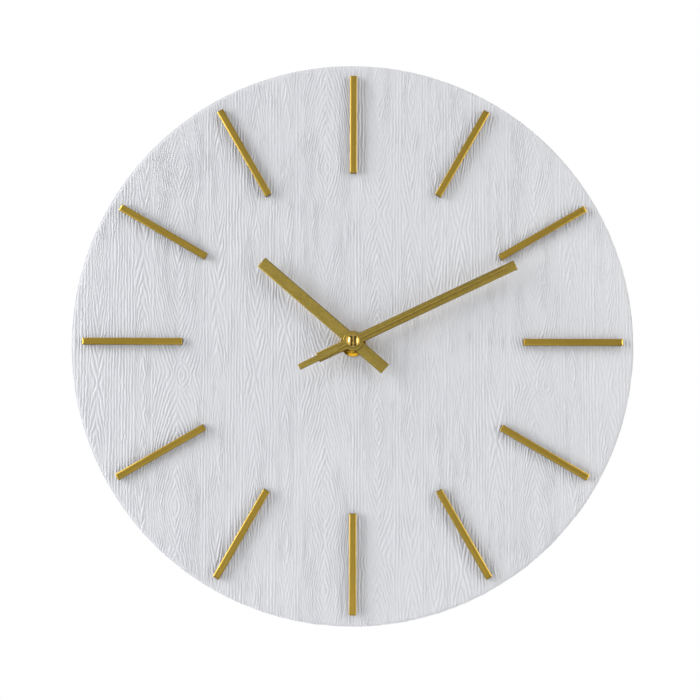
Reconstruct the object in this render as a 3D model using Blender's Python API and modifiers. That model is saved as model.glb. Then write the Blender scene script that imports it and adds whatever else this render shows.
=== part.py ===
"""Round wall clock: embossed disc, twelve bars, three hands and a quartz movement.

Everything is modelled as on a bench, face up: X to the right, Y to twelve o'clock, Z from the
wall towards the viewer. The empty "clock" then stands the whole clock up against the wall, so
that in the world the dial faces -Y, twelve o'clock is +Z, and the wall is the plane Y = 0.
The origin is on the hands' axis, on the flat back of the movement.
"""

import math

import bmesh
import bpy
from mathutils import Matrix, Vector

MM = 0.001

# Disc
DISC_RADIUS = 175.0 * MM
DISC_EDGE_ROUND = 2.0 * MM
BOARD_THICKNESS = 9.0 * MM
FACING_THICKNESS = 0.8 * MM
FACING_GAP = 0.2 * MM
DISC_SEGMENTS = 72
BOARD_HOLE_RADIUS = 5.6 * MM

# Hour bars
BAR_LENGTH = 61.4 * MM
BAR_WIDTH = 4.2 * MM
BAR_HEIGHT = 2.8 * MM
BAR_CHAMFER = 0.7 * MM
BAR_MIDDLE_RADIUS = 136.3 * MM
BAR_COUNT = 12

# Hands, measured from the axis; clock angles at rest in degrees from twelve o'clock
HOUR_TIP, HOUR_TAIL, HOUR_WIDTH = 74.9 * MM, 26.0 * MM, 6.6 * MM
MINUTE_TIP, MINUTE_TAIL, MINUTE_WIDTH = 110.7 * MM, 24.0 * MM, 5.5 * MM
SECOND_TIP, SECOND_WIDTH = 103.2 * MM, 1.7 * MM
PADDLE_START, PADDLE_END, PADDLE_WIDTH = 10.4 * MM, 36.8 * MM, 3.7 * MM
HOUR_BOSS_RADIUS = 5.8 * MM
MINUTE_BOSS_RADIUS = 6.3 * MM
SECOND_BOSS_RADIUS = 4.4 * MM
HAND_THICKNESS = 0.6 * MM
SECOND_THICKNESS = 0.4 * MM
HOUR_ANGLE, MINUTE_ANGLE, SECOND_ANGLE = 310.5, 64.5, 64.0

# Depths from the wall
CASE_DEPTH = 16.0 * MM
HANGER_LOW = 16.3 * MM
HANGER_THICKNESS = 0.8 * MM
RUBBER_LOW = 17.4 * MM
RUBBER_THICKNESS = 0.8 * MM
BOARD_LOW = 18.5 * MM
BOARD_HIGH = BOARD_LOW + BOARD_THICKNESS
FACE = BOARD_HIGH + FACING_GAP + FACING_THICKNESS
GAP = 0.3 * MM
WASHER_LOW = FACE + GAP
WASHER_THICKNESS = 0.8 * MM
NUT_LOW = WASHER_LOW + WASHER_THICKNESS + 0.2 * MM
NUT_THICKNESS = 2.4 * MM
HOUR_HAND_LOW = 33.9 * MM
MINUTE_HAND_LOW = 36.0 * MM
SECOND_HAND_LOW = 37.9 * MM
CAP_LOW = 38.8 * MM
CAP_RADIUS, CAP_HEIGHT, CAP_SLOPE = 3.75 * MM, 2.9 * MM, math.radians(50)

# Movement case
CASE_HALF = 28.0 * MM
CASE_WALL = 1.0 * MM
CASE_FRONT_WALL = 1.2 * MM
CASE_ROUND = 2.0 * MM
COVER_THICKNESS = 1.2 * MM
PARTITION_LOW, PARTITION_HIGH = -12.6 * MM, -11.5 * MM
BAY_FLOOR = 15.0 * MM

# Battery, an AA cell
CELL_RADIUS = 7.0 * MM
CELL_LEFT, CELL_RIGHT, CELL_NUB = -25.0 * MM, 24.5 * MM, 1.0 * MM
CELL_NUB_RADIUS = 2.7 * MM
CELL_UP, CELL_DEPTH = -19.7 * MM, 7.6 * MM

# Centre stack, radii from the seconds shaft out to the threaded bushing
SHAFT_RADIUS = 0.5 * MM
CANNON_BORE, CANNON_RADIUS = 0.8 * MM, 1.7 * MM
PIPE_BORE, PIPE_RADIUS = 2.0 * MM, 2.5 * MM
BUSHING_BORE, THREAD_RADIUS = 2.8 * MM, 4.0 * MM
FLANGE_RADIUS = 5.5 * MM
BUSHING_END = NUT_LOW + NUT_THICKNESS + 0.5 * MM
NUT_ACROSS_FLATS, NUT_TURN = 12.0 * MM, math.radians(22)
WASHER_RADIUS, WASHER_HOLE = 7.9 * MM, 5.3 * MM
WASHER_DROP = 1.2 * MM
ARBOR_RADIUS = 0.45 * MM
RUNNING_HOLE = 0.7 * MM

# Gears: teeth and modules of each pair, pinion first
ROTOR_TEETH, FIRST_TEETH, FIRST_MODULE = 8, 40, 0.25 * MM
FIRST_PINION, SECONDS_TEETH, SECONDS_MODULE = 8, 48, 0.30 * MM
SECONDS_PINION, THIRD_TEETH, THIRD_MODULE = 8, 60, 0.30 * MM
THIRD_PINION, CENTRE_TEETH = 8, 64
CANNON_TEETH, MOTION_TEETH, MOTION_MODULE = 10, 30, 0.54 * MM
MOTION_PINION, HOUR_TEETH = 8, 32
WHEEL_THICKNESS = 0.6 * MM
PRESSURE_ANGLE = math.radians(20)
TOOTH_SLACK = 0.14
PINION_ADDENDUM, WHEEL_ADDENDUM = 0.8, 0.7
PINION_DEDENDUM, WHEEL_DEDENDUM = 1.2, 1.15

# Arbor places: each at its centre distance from the arbor that it meshes with
THIRD_DISTANCE = THIRD_MODULE * (SECONDS_PINION + THIRD_TEETH) / 2
CENTRE_MODULE = 2 * THIRD_DISTANCE / (THIRD_PINION + CENTRE_TEETH)
FIRST_DISTANCE = SECONDS_MODULE * (FIRST_PINION + SECONDS_TEETH) / 2
ROTOR_DISTANCE = FIRST_MODULE * (ROTOR_TEETH + FIRST_TEETH) / 2
MOTION_DISTANCE = MOTION_MODULE * (CANNON_TEETH + MOTION_TEETH) / 2
THIRD_DIRECTION = math.radians(165)
FIRST_DIRECTION = math.radians(75)
ROTOR_DIRECTION = math.radians(30)
MOTION_DIRECTION = 0.0


def polar(radius, angle):
    return Vector((radius * math.cos(angle), radius * math.sin(angle)))


CENTRE = Vector((0.0, 0.0))
THIRD = polar(THIRD_DISTANCE, THIRD_DIRECTION)
FIRST = polar(FIRST_DISTANCE, FIRST_DIRECTION)
ROTOR = FIRST + polar(ROTOR_DISTANCE, ROTOR_DIRECTION)
MOTION = polar(MOTION_DISTANCE, MOTION_DIRECTION)

# Stepping motor
MAGNET_RADIUS = 3.0 * MM
STATOR_HOLE, STATOR_LOBE = 3.4 * MM, 4.3 * MM
STATOR_LOW, STATOR_THICKNESS = 3.6 * MM, 0.8 * MM
COIL_UP, COIL_DEPTH = 21.2 * MM, 5.0 * MM
COIL_HALF, COIL_FLANGE = 11.0 * MM, 3.5 * MM
CORE_HALF, CORE_WIDTH, CORE_THICKNESS = 17.0 * MM, 2.6 * MM, 0.8 * MM

MATERIALS = {
    "pale_grey_paint": ((0.66, 0.67, 0.69), 0.62, 0.0),
    "fibreboard": ((0.30, 0.19, 0.10), 0.85, 0.0),
    "polished_gold": ((0.62, 0.46, 0.16), 0.16, 1.0),
    "satin_gold": ((0.42, 0.31, 0.09), 0.34, 1.0),
    "brass": ((0.60, 0.45, 0.18), 0.3, 1.0),
    "steel": ((0.55, 0.56, 0.57), 0.35, 1.0),
    "black_plastic": ((0.02, 0.02, 0.022), 0.5, 0.0),
    "white_plastic": ((0.72, 0.72, 0.70), 0.45, 0.0),
    "amber_plastic": ((0.45, 0.22, 0.04), 0.45, 0.0),
    "green_board": ((0.02, 0.14, 0.05), 0.45, 0.0),
    "copper_wire": ((0.55, 0.20, 0.07), 0.35, 1.0),
    "magnet": ((0.10, 0.10, 0.11), 0.45, 0.6),
    "rubber": ((0.03, 0.03, 0.03), 0.8, 0.0),
    "cell_wrap": ((0.05, 0.12, 0.30), 0.4, 0.0),
}


def clear_scene():
    for thing in list(bpy.data.objects):
        bpy.data.objects.remove(thing, do_unlink=True)


def new_collection(name):
    collection = bpy.data.collections.new(name)
    bpy.context.scene.collection.children.link(collection)
    return collection


def make_material(name):
    colour, roughness, metallic = MATERIALS[name]
    material = bpy.data.materials.new(name)
    material.use_nodes = True
    shader = material.node_tree.nodes["Principled BSDF"]
    shader.inputs["Base Color"].default_value = (*colour, 1.0)
    shader.inputs["Roughness"].default_value = roughness
    shader.inputs["Metallic"].default_value = metallic
    return material


def add_empty(name, parent=None, place=CENTRE, turn=0.0):
    empty = bpy.data.objects.new(name, None)
    empty.empty_display_size = 0.01
    empty.location = (place.x, place.y, 0.0)
    empty.rotation_euler = (0.0, 0.0, turn)
    empty.parent = parent
    parts.objects.link(empty)
    return empty


def add_part(name, mesh, material, parent):
    """Makes a mesh a part of the clock: one named object with its own material."""
    part = bpy.data.objects.new(name, mesh)
    part.parent = parent
    mesh.materials.clear()
    mesh.materials.append(make_material(material))
    mesh.shade_smooth()
    mesh.set_sharp_from_angle(angle=math.radians(30))
    parts.objects.link(part)
    return part


def apply_boolean(part, mesh, operation):
    """Cuts a mesh from a part, joins it on, or keeps only what both hold."""
    tool = bpy.data.objects.new(f"{part.name}_{operation.lower()}_{len(part.modifiers)}", mesh)
    tool.parent = part.parent
    tool.hide_render = True
    tool.display_type = "WIRE"
    cutters.objects.link(tool)
    modifier = part.modifiers.new(tool.name, "BOOLEAN")
    modifier.operation = operation
    modifier.object = tool
    modifier.solver = "EXACT"


def bmesh_to_mesh(work, name):
    mesh = bpy.data.meshes.new(name)
    work.to_mesh(mesh)
    work.free()
    return mesh


def box(low, high):
    """A box between two corners."""
    work = bmesh.new()
    bmesh.ops.create_cube(work, size=1.0)
    low, high = Vector(low), Vector(high)
    size = high - low
    bmesh.ops.scale(work, vec=size, verts=work.verts)
    bmesh.ops.translate(work, vec=(low + high) / 2, verts=work.verts)
    return bmesh_to_mesh(work, "box")


def round_edges(mesh, radius, chosen, segments=2):
    """Rounds the edges that chosen(first_end, second_end) picks."""
    work = bmesh.new()
    work.from_mesh(mesh)
    edges = [e for e in work.edges if chosen(e.verts[0].co, e.verts[1].co)]
    bmesh.ops.bevel(work, geom=edges, offset=radius, segments=segments, profile=0.5, affect="EDGES")
    work.to_mesh(mesh)
    work.free()
    return mesh


def cylinder(radius, low, high, centre=CENTRE, segments=24):
    work = bmesh.new()
    bmesh.ops.create_cone(
        work, cap_ends=True, segments=segments, radius1=radius, radius2=radius, depth=high - low
    )
    bmesh.ops.translate(work, vec=(centre.x, centre.y, (low + high) / 2), verts=work.verts)
    return bmesh_to_mesh(work, "cylinder")


def turned(profile, segments=24, closed=True):
    """A profile of (radius, depth) turned about the Z axis by a Screw modifier.

    It runs down the outer side from top to bottom. A closed profile is a ring, and an open one
    starts and ends on the axis.
    """
    mesh = bpy.data.meshes.new("profile")
    count = len(profile)
    edges = [(i, i + 1) for i in range(count - 1)]
    if closed:
        edges.append((count - 1, 0))
    mesh.from_pydata([(radius, 0.0, depth) for radius, depth in profile], edges, [])
    guide = bpy.data.objects.new("turned", mesh)
    bpy.context.scene.collection.objects.link(guide)
    screw = guide.modifiers.new("turn", "SCREW")
    screw.steps = segments
    screw.render_steps = segments
    screw.use_merge_vertices = True
    screw.merge_threshold = 0.00001
    return evaluated_mesh(guide)


def evaluated_mesh(guide):
    """The guide's final mesh with its loose caps welded; the guide is removed."""
    bpy.context.view_layer.update()
    graph = bpy.context.evaluated_depsgraph_get()
    mesh = bpy.data.meshes.new_from_object(guide.evaluated_get(graph))
    mesh.transform(guide.matrix_world)
    bpy.data.objects.remove(guide, do_unlink=True)
    work = bmesh.new()
    work.from_mesh(mesh)
    bmesh.ops.remove_doubles(work, verts=work.verts, dist=0.000001)
    work.to_mesh(mesh)
    work.free()
    return mesh


def ring(bore, radius, low, high, segments=24):
    return turned([(radius, high), (radius, low), (bore, low), (bore, high)], segments)


ALONG_X = Matrix(((0, 0, 1, 0), (1, 0, 0, 0), (0, 1, 0, 0), (0, 0, 0, 1)))
ALONG_Y = Matrix(((1, 0, 0, 0), (0, 0, -1, 0), (0, 1, 0, 0), (0, 0, 0, 1)))


def outlined(loops, low, high, turn=None):
    """Flat outlines, the first one outside and the rest holes, extruded from low to high.

    turn re-aims the result: ALONG_X takes outlines of (Y, Z) points, and ALONG_Y of (X, Z).
    """
    curve = bpy.data.curves.new("outline", "CURVE")
    curve.dimensions = "2D"
    curve.fill_mode = "BOTH"
    curve.extrude = (high - low) / 2
    for points in loops:
        spline = curve.splines.new("POLY")
        spline.points.add(len(points) - 1)
        for target, point in zip(spline.points, points):
            target.co = (point[0], point[1], 0.0, 1.0)
        spline.use_cyclic_u = True
    guide = bpy.data.objects.new("outlined", curve)
    guide.location.z = (low + high) / 2
    bpy.context.scene.collection.objects.link(guide)
    mesh = evaluated_mesh(guide)
    if turn is not None:
        mesh.transform(turn)
    return mesh


def circle(radius, centre=CENTRE, segments=24):
    steps = [2 * math.pi * k / segments for k in range(segments)]
    return [centre + polar(radius, angle) for angle in steps]


def arc(radius, start, end, steps, centre=CENTRE):
    return [centre + polar(radius, start + (end - start) * k / steps) for k in range(steps + 1)]


def strip(path, thickness):
    """The outline of a bent strip that follows a path, with mitred corners."""
    left, right = [], []
    for i, point in enumerate(path):
        before = (point - path[i - 1]).normalized() if i else None
        after = (path[i + 1] - point).normalized() if i + 1 < len(path) else None
        before = before or after
        after = after or before
        normal = (before + after).normalized().orthogonal()
        reach = thickness / 2 / before.orthogonal().dot(normal)
        left.append(point + normal * reach)
        right.append(point - normal * reach)
    return left + right[::-1]


def gear_outline(teeth, module, toward, pinion, gap_there=False):
    """A gear's outline with a tooth, or a gap, pointing in the direction toward.

    Flanks follow the involute of the pitch circle, are radial below the base circle, and are
    thinned by the slack that keeps meshing teeth clear of each other.
    """
    pitch = module * teeth / 2
    base = pitch * math.cos(PRESSURE_ANGLE)
    addendum = PINION_ADDENDUM if pinion else WHEEL_ADDENDUM
    dedendum = PINION_DEDENDUM if pinion else WHEEL_DEDENDUM

    def involute(radius):
        angle = math.acos(min(1.0, base / max(radius, base)))
        return math.tan(angle) - angle

    def half_tooth(radius):
        at_pitch = math.pi / (2 * teeth) - TOOTH_SLACK * module / pitch
        return at_pitch + involute(pitch) - involute(radius)

    root, tip = pitch - dedendum * module, pitch + addendum * module
    radii = [root, pitch, tip] if pinion else [root, tip]
    start = toward + (math.pi / teeth if gap_there else 0.0)
    points = []
    for k in range(teeth):
        middle = start + 2 * math.pi * k / teeth
        points += [polar(radius, middle - half_tooth(radius)) for radius in radii]
        points += [polar(radius, middle + half_tooth(radius)) for radius in reversed(radii)]
    return points


def pinion_mesh(teeth, module, toward, low, high):
    return outlined([gear_outline(teeth, module, toward, True)], low, high)


def wheel_mesh(teeth, module, toward, low, hole=None):
    loops = [gear_outline(teeth, module, toward, False, gap_there=True)]
    if hole:
        loops.append(circle(hole))
    return outlined(loops, low, low + WHEEL_THICKNESS)


# ---------------------------------------------------------------- the disc


def build_board():
    radius = DISC_RADIUS - FACING_THICKNESS - FACING_GAP
    inner_round = DISC_EDGE_ROUND - FACING_THICKNESS
    top, bottom = BOARD_HIGH, BOARD_LOW
    corner = Vector((radius - inner_round, top - inner_round))
    profile = [(BOARD_HOLE_RADIUS, top)]
    profile += [tuple(p) for p in arc(inner_round, math.pi / 2, 0.0, 2, corner)]
    profile += [(radius, bottom), (BOARD_HOLE_RADIUS, bottom)]
    add_part("dial_board", turned(profile, DISC_SEGMENTS), "fibreboard", clock)


def build_facing():
    inner_top = FACE - FACING_THICKNESS
    inner_round = DISC_EDGE_ROUND - FACING_THICKNESS
    corner = Vector((DISC_RADIUS - DISC_EDGE_ROUND, FACE - DISC_EDGE_ROUND))
    profile = [(BOARD_HOLE_RADIUS, FACE)]
    profile += [tuple(p) for p in arc(DISC_EDGE_ROUND, math.pi / 2, 0.0, 3, corner)]
    profile += [(DISC_RADIUS, BOARD_LOW), (DISC_RADIUS - FACING_THICKNESS, BOARD_LOW)]
    profile += [tuple(p) for p in arc(inner_round, 0.0, math.pi / 2, 2, corner)]
    profile += [(BOARD_HOLE_RADIUS, inner_top)]
    add_part("dial_facing", turned(profile, DISC_SEGMENTS), "pale_grey_paint", clock)


def bar_mesh():
    half_width, half_length = BAR_WIDTH / 2, BAR_LENGTH / 2
    low, high = FACE + GAP, FACE + GAP + BAR_HEIGHT
    mesh = box((-half_width, -half_length, low), (half_width, half_length, high))
    middle = (low + high) / 2
    return round_edges(mesh, BAR_CHAMFER, lambda a, b: a.z > middle and b.z > middle)


def build_bars():
    for hour in range(1, BAR_COUNT + 1):
        angle = math.radians(90 - 360 * hour / BAR_COUNT)
        bar = add_part(f"hour_bar_{hour:02d}", bar_mesh(), "polished_gold", clock)
        place = polar(BAR_MIDDLE_RADIUS, angle)
        bar.location = (place.x, place.y, 0.0)
        bar.rotation_euler.z = angle - math.pi / 2


# ---------------------------------------------------------------- what clamps the movement


def build_fastenings():
    washer = ring(WASHER_HOLE, WASHER_RADIUS, WASHER_LOW, WASHER_LOW + WASHER_THICKNESS, 48)
    add_part("front_washer", washer, "polished_gold", clock).location.y = -WASHER_DROP
    build_nut()
    rubber = ring(THREAD_RADIUS + GAP, 9.0 * MM, RUBBER_LOW, RUBBER_LOW + RUBBER_THICKNESS, 32)
    add_part("rubber_washer", rubber, "rubber", clock)
    low = CASE_DEPTH - CASE_FRONT_WALL - 0.2 * MM
    flange = low - 0.8 * MM
    profile = [
        (THREAD_RADIUS, BUSHING_END),
        (THREAD_RADIUS, low),
        (FLANGE_RADIUS, low),
        (FLANGE_RADIUS, flange),
        (BUSHING_BORE, flange),
        (BUSHING_BORE, BUSHING_END),
    ]
    add_part("threaded_bushing", turned(profile, 32), "brass", clock)


def build_nut():
    """A hexagonal nut: a six-sided prism whose corners are turned down on both faces."""
    low, high = NUT_LOW, NUT_LOW + NUT_THICKNESS
    corner = NUT_ACROSS_FLATS / 2 / math.cos(math.pi / 6)
    hexagon = arc(corner, NUT_TURN, NUT_TURN + 5 * math.pi / 3, 5)
    prism = outlined([hexagon, circle(THREAD_RADIUS + 0.2 * MM, segments=32)], low, high)
    nut = add_part("mounting_nut", prism, "polished_gold", clock)
    small, large, drop = NUT_ACROSS_FLATS / 2 - 0.1 * MM, corner + 0.1 * MM, 0.5 * MM
    profile = [
        (0.0, high + 0.01 * MM),
        (small, high + 0.01 * MM),
        (large, high - drop),
        (large, low + drop),
        (small, low - 0.01 * MM),
        (0.0, low - 0.01 * MM),
    ]
    apply_boolean(nut, turned(profile, 48, closed=False), "INTERSECT")


def build_hanger():
    """A bent steel strip: clamped by the bushing, over the case, and up along the wall."""
    half_width, foot, top = 11.0 * MM, -9.0 * MM, 47.0 * MM
    front = HANGER_LOW + HANGER_THICKNESS / 2
    over = CASE_HALF + 0.8 * MM
    back = HANGER_THICKNESS / 2
    path = [Vector((foot, front)), Vector((over, front)), Vector((over, back)), Vector((top, back))]
    mesh = outlined([strip(path, HANGER_THICKNESS)], -half_width, half_width, ALONG_X)

    def end_corner(a, b):
        along_depth = abs(a.x - b.x) + abs(a.y - b.y) < 0.00001
        return along_depth and (a.y > top - 0.1 * MM or a.y < foot + 0.1 * MM)

    hanger = add_part("hanger_plate", round_edges(mesh, 3.0 * MM, end_corner, 3), "steel", clock)
    bushing_hole = cylinder(THREAD_RADIUS + GAP, HANGER_LOW - MM, HANGER_LOW + 2 * MM, segments=32)
    apply_boolean(hanger, bushing_hole, "DIFFERENCE")
    head, neck, neck_top = Vector((0.0, 36.0 * MM)), 2.6 * MM, 41.0 * MM
    turn = math.asin(neck / (4.8 * MM))
    keyhole = arc(4.8 * MM, math.pi / 2 + turn, 2.5 * math.pi - turn, 18, head)
    keyhole += arc(neck, 0.0, math.pi, 8, Vector((0.0, neck_top)))
    apply_boolean(hanger, outlined([keyhole], -MM, 2 * MM), "DIFFERENCE")


# ---------------------------------------------------------------- movement case


def build_front_case():
    half, inner = CASE_HALF, CASE_HALF - CASE_WALL
    block = box((-half, -half, 0.0), (half, half, CASE_DEPTH))

    def outer_edge(a, b):
        upright = abs(a.x - b.x) + abs(a.y - b.y) < 0.00001
        return upright or (a.z > CASE_DEPTH / 2 and b.z > CASE_DEPTH / 2)

    case = add_part(
        "movement_front_case", round_edges(block, CASE_ROUND / 2, outer_edge), "black_plastic", clock
    )
    train_room = box((-inner, PARTITION_HIGH, -MM), (inner, inner, CASE_DEPTH - CASE_FRONT_WALL))
    apply_boolean(case, train_room, "DIFFERENCE")
    battery_bay = box((-inner, -inner, -MM), (inner, PARTITION_LOW, BAY_FLOOR))
    apply_boolean(case, battery_bay, "DIFFERENCE")
    hole = cylinder(THREAD_RADIUS + GAP, BAY_FLOOR - 2 * MM, CASE_DEPTH + MM, segments=32)
    apply_boolean(case, hole, "DIFFERENCE")
    for side in (-1, 1):
        low, high = sorted((side * inner, side * (inner - 3.0 * MM)))
        notch = box((low, PARTITION_LOW - MM, 4.6 * MM), (high, PARTITION_HIGH + MM, 7.4 * MM))
        apply_boolean(case, notch, "DIFFERENCE")
    for place in (THIRD, MOTION):
        pivot_hole = cylinder(1.0 * MM, 14.0 * MM, 15.5 * MM, place, 16)
        apply_boolean(case, pivot_hole, "DIFFERENCE")


def build_rear_cover():
    half = CASE_HALF - CASE_WALL - GAP
    plate = box((-half, PARTITION_HIGH + GAP, 0.0), (half, half, COVER_THICKNESS))
    cover = add_part("movement_rear_cover", plate, "black_plastic", clock)
    for place in (CENTRE, THIRD, FIRST, ROTOR):
        boss = cylinder(1.6 * MM, COVER_THICKNESS / 2, COVER_THICKNESS + 0.8 * MM, place, 16)
        apply_boolean(cover, boss, "UNION")
        pivot_hole = cylinder(RUNNING_HOLE, COVER_THICKNESS / 2 + 0.1 * MM, 3.0 * MM, place, 16)
        apply_boolean(cover, pivot_hole, "DIFFERENCE")
    knob_hole = cylinder(5.0 * MM, -MM, 3.0 * MM, MOTION, 32)
    apply_boolean(cover, knob_hole, "DIFFERENCE")


def build_centre_plate():
    half, low, high = 26.4 * MM, 8.2 * MM, 9.2 * MM
    plate = box((-half, -10.9 * MM, low), (half, 15.5 * MM, high))
    holder = add_part("centre_plate", plate, "white_plastic", clock)
    holes = [(CENTRE, 0.9 * MM), (THIRD, 2.0 * MM), (FIRST, RUNNING_HOLE)]
    holes += [(ROTOR, RUNNING_HOLE), (MOTION, 1.2 * MM)]
    for place, radius in holes:
        apply_boolean(holder, cylinder(radius, low - MM, high + MM, place, 16), "DIFFERENCE")


# ---------------------------------------------------------------- electrics


def build_circuit():
    low = 2.4 * MM
    board = box((-25.8 * MM, -10.5 * MM, low), (-12.0 * MM, 13.0 * MM, low + 0.8 * MM))
    add_part("circuit_board", board, "green_board", clock)
    top = low + 0.8 * MM + 0.2 * MM
    blob = [(0.0, 0.9 * MM), (1.6 * MM, 0.7 * MM), (2.8 * MM, 0.0), (0.0, 0.0)]
    chip = add_part("controller_chip", turned(blob, 16, closed=False), "magnet", clock)
    chip.location = (-19.0 * MM, 7.0 * MM, top)
    can = cylinder(1.0 * MM, -3.0 * MM, 3.0 * MM, segments=16)
    crystal = add_part("quartz_crystal", can, "steel", clock)
    crystal.location = (-20.5 * MM, -3.0 * MM, top + 1.0 * MM)
    crystal.rotation_euler.x = math.pi / 2


def build_coil():
    """The coil lies across the top of the case, its axis along X, with the core through it."""
    flange, tube, bore, cheek = COIL_FLANGE, 2.0 * MM, 1.7 * MM, 0.8 * MM
    end = COIL_HALF
    profile = [
        (flange, end),
        (flange, end - cheek),
        (tube, end - cheek),
        (tube, cheek - end),
        (flange, cheek - end),
        (flange, -end),
        (bore, -end),
        (bore, end),
    ]
    bobbin = add_part("coil_bobbin", turned(profile, 20), "white_plastic", clock)
    wire_end = end - cheek - 0.2 * MM
    wire = ring(tube + 0.15 * MM, flange - 0.3 * MM, -wire_end, wire_end, 20)
    winding = add_part("coil_winding", wire, "copper_wire", clock)
    for piece in (bobbin, winding):
        piece.rotation_euler.y = math.pi / 2
        piece.location = (0.0, COIL_UP, COIL_DEPTH)
    half, thick = CORE_WIDTH / 2, CORE_THICKNESS / 2
    core = box(
        (-CORE_HALF, COIL_UP - half, COIL_DEPTH - thick), (CORE_HALF, COIL_UP + half, COIL_DEPTH + thick)
    )
    add_part("coil_core", core, "steel", clock)


def build_stator():
    """A U-shaped plate under the core's ends, with a lobe around the rotor's magnet."""
    outer, inner = CORE_HALF, COIL_HALF + 1.5 * MM
    top, shelf = COIL_UP + 2.0 * MM, COIL_UP - COIL_FLANGE - 0.7 * MM
    lobe_start = math.radians(150)
    lobe_end = math.radians(390)
    under = ROTOR.y + STATOR_LOBE * math.sin(lobe_start)
    outline = [Vector((-inner, top)), Vector((-outer, top)), Vector((-outer, under))]
    outline += arc(STATOR_LOBE, lobe_start, lobe_end, 16, ROTOR)
    outline += [Vector((outer, under)), Vector((outer, top)), Vector((inner, top))]
    outline += [Vector((inner, shelf)), Vector((-inner, shelf))]
    high = STATOR_LOW + STATOR_THICKNESS
    plate = outlined([outline, circle(STATOR_HOLE, ROTOR)], STATOR_LOW, high)
    add_part("stator_plate", plate, "steel", clock)


def build_battery():
    right, left = CELL_RIGHT, CELL_LEFT
    nub = right + CELL_NUB
    profile = [
        (0.0, nub),
        (CELL_NUB_RADIUS, nub),
        (CELL_NUB_RADIUS, right),
        (CELL_RADIUS - 0.4 * MM, right),
        (CELL_RADIUS, right - 0.4 * MM),
        (CELL_RADIUS, left + 0.4 * MM),
        (CELL_RADIUS - 0.4 * MM, left),
        (0.0, left),
    ]
    cell = add_part("battery", turned(profile, 24, closed=False), "cell_wrap", clock)
    cell.rotation_euler.y = math.pi / 2
    cell.location = (0.0, CELL_UP, CELL_DEPTH)


def build_contacts():
    """Spring-steel strips at the ends of the bay, each with a tail through its notch."""
    thickness, half_width = 0.4 * MM, 3.5 * MM
    inner = CASE_HALF - CASE_WALL
    wall = inner - 0.5 * MM
    fold, touch = 2.0 * MM, CELL_LEFT - GAP - thickness / 2
    spring = [
        Vector((-wall, 14.0 * MM)),
        Vector((-wall, fold)),
        Vector((-wall + 0.6 * MM, fold - 0.5 * MM)),
        Vector((touch, CELL_DEPTH)),
        Vector((touch - 0.3 * MM, 11.0 * MM)),
    ]
    flat = [Vector((wall, 14.0 * MM)), Vector((wall, 1.6 * MM))]
    for name, path, side in (("contact_negative", spring, -1), ("contact_positive", flat, 1)):
        up = -CELL_UP
        leaf = outlined([strip(path, thickness)], up - half_width, up + half_width, ALONG_Y)
        contact = add_part(name, leaf, "steel", clock)
        low, high = sorted((side * (wall - thickness / 2), side * (wall + thickness / 2)))
        tail = box((low, CELL_UP, 5.0 * MM), (high, PARTITION_HIGH + 3.0 * MM, 7.0 * MM))
        apply_boolean(contact, tail, "UNION")


# ---------------------------------------------------------------- going train


def build_rotor():
    axis = add_empty("rotor_axis", clock, ROTOR)
    low = STATOR_LOW - 0.7 * MM
    magnet = ring(ARBOR_RADIUS + GAP, MAGNET_RADIUS, low, low + 1.8 * MM, 24)
    add_part("rotor_magnet", magnet, "magnet", axis)
    toward = ROTOR_DIRECTION + math.pi
    teeth = pinion_mesh(ROTOR_TEETH, FIRST_MODULE, toward, 4.9 * MM, 6.2 * MM)
    pinion = add_part("rotor_pinion", teeth, "white_plastic", axis)
    apply_boolean(pinion, cylinder(ARBOR_RADIUS, 1.0 * MM, 8.9 * MM, segments=12), "UNION")


def build_first_wheel():
    axis = add_empty("intermediate_axis", clock, FIRST)
    teeth = wheel_mesh(FIRST_TEETH, FIRST_MODULE, ROTOR_DIRECTION, 5.1 * MM)
    wheel = add_part("intermediate_wheel", teeth, "white_plastic", axis)
    toward = FIRST_DIRECTION + math.pi
    pinion = pinion_mesh(FIRST_PINION, SECONDS_MODULE, toward, 3.4 * MM, 5.3 * MM)
    apply_boolean(wheel, pinion, "UNION")
    apply_boolean(wheel, cylinder(ARBOR_RADIUS, 1.0 * MM, 8.9 * MM, segments=12), "UNION")


def build_seconds_wheel():
    """The wheel and its pinion share one moulding, with a bore for the long seconds shaft."""
    axis = add_empty("seconds_axis", clock)
    teeth = wheel_mesh(SECONDS_TEETH, SECONDS_MODULE, FIRST_DIRECTION, 3.6 * MM)
    wheel = add_part("seconds_wheel", teeth, "white_plastic", axis)
    pinion = pinion_mesh(SECONDS_PINION, THIRD_MODULE, THIRD_DIRECTION, 3.9 * MM, 7.4 * MM)
    apply_boolean(wheel, pinion, "UNION")
    bore = cylinder(SHAFT_RADIUS + 0.1 * MM, 3.0 * MM, 8.0 * MM, segments=12)
    apply_boolean(wheel, bore, "DIFFERENCE")
    shaft = cylinder(SHAFT_RADIUS, 1.0 * MM, SECOND_HAND_LOW + 0.6 * MM, segments=12)
    add_part("seconds_shaft", shaft, "steel", axis)
    return axis


def build_third_wheel():
    axis = add_empty("third_axis", clock, THIRD)
    teeth = wheel_mesh(THIRD_TEETH, THIRD_MODULE, THIRD_DIRECTION + math.pi, 6.2 * MM)
    wheel = add_part("third_wheel", teeth, "amber_plastic", axis)
    toward = THIRD_DIRECTION + math.pi
    pinion = pinion_mesh(THIRD_PINION, CENTRE_MODULE, toward, 6.5 * MM, 10.7 * MM)
    apply_boolean(wheel, pinion, "UNION")
    apply_boolean(wheel, cylinder(ARBOR_RADIUS, 1.0 * MM, 15.2 * MM, segments=12), "UNION")


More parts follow.
